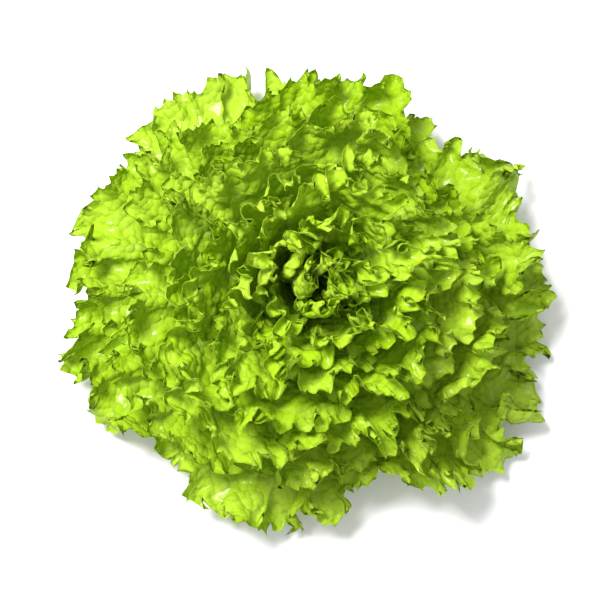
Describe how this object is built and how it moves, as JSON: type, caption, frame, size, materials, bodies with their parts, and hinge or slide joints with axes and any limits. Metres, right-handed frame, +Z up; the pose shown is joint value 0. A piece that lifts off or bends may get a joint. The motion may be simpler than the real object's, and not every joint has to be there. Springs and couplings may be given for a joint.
{
  "type": "batavia lettuce",
  "caption": "Open head of loose, ruffled green lettuce leaves on a short cut stem, resting on the stem's flat end.",
  "frame": {"origin": "centre of the stem's flat cut face, which rests on the surface", "axes": "+Z up along the stem through the heart, +X to the right and +Y away from a viewer who stands in front and looks down on the head"},
  "size_m": [0.3037, 0.2728, 0.1328],
  "materials": {
    "stem_flesh": "moist pale green cut stem, browning slightly at the cut",
    "outer_leaf": "waxy blistered leaf, mid green, softly glossy, with paler veins and underside",
    "middle_leaf": "waxy blistered leaf, fresh yellow-green, softly glossy, with paler veins",
    "heart_leaf": "tender crinkled leaf, pale yellow-green"
  },
  "bodies": {
    "root": {"stem": "stem_flesh", "outer_leaf_01": "outer_leaf", "outer_leaf_02": "outer_leaf", "outer_leaf_03": "outer_leaf", "outer_leaf_04": "outer_leaf", "outer_leaf_05": "outer_leaf", "outer_leaf_06": "outer_leaf", "outer_leaf_07": "outer_leaf", "outer_leaf_08": "outer_leaf", "outer_leaf_09": "outer_leaf", "outer_leaf_10": "outer_leaf", "outer_leaf_11": "outer_leaf", "outer_leaf_12": "outer_leaf", "outer_leaf_13": "outer_leaf", "outer_leaf_14": "outer_leaf", "outer_leaf_15": "outer_leaf", "outer_leaf_16": "outer_leaf", "middle_leaf_01": "middle_leaf", "middle_leaf_02": "middle_leaf", "middle_leaf_03": "middle_leaf", "middle_leaf_04": "middle_leaf", "middle_leaf_05": "middle_leaf", "middle_leaf_06": "middle_leaf", "middle_leaf_07": "middle_leaf", "middle_leaf_08": "middle_leaf", "middle_leaf_09": "middle_leaf", "middle_leaf_10": "middle_leaf", "middle_leaf_11": "middle_leaf", "middle_leaf_12": "middle_leaf", "middle_leaf_13": "middle_leaf", "middle_leaf_14": "middle_leaf", "middle_leaf_15": "middle_leaf", "middle_leaf_16": "middle_leaf", "middle_leaf_17": "middle_leaf", "heart_leaf_01": "heart_leaf", "heart_leaf_02": "heart_leaf", "heart_leaf_03": "heart_leaf", "heart_leaf_04": "heart_leaf", "heart_leaf_05": "heart_leaf", "heart_leaf_06": "heart_leaf", "heart_leaf_07": "heart_leaf", "heart_leaf_08": "heart_leaf", "heart_leaf_09": "heart_leaf", "heart_leaf_10": "heart_leaf", "heart_leaf_11": "heart_leaf", "heart_leaf_12": "heart_leaf", "heart_leaf_13": "heart_leaf", "heart_leaf_14": "heart_leaf", "heart_leaf_15": "heart_leaf", "heart_leaf_16": "heart_leaf", "heart_leaf_17": "heart_leaf"}
  },
  "joints": []
}
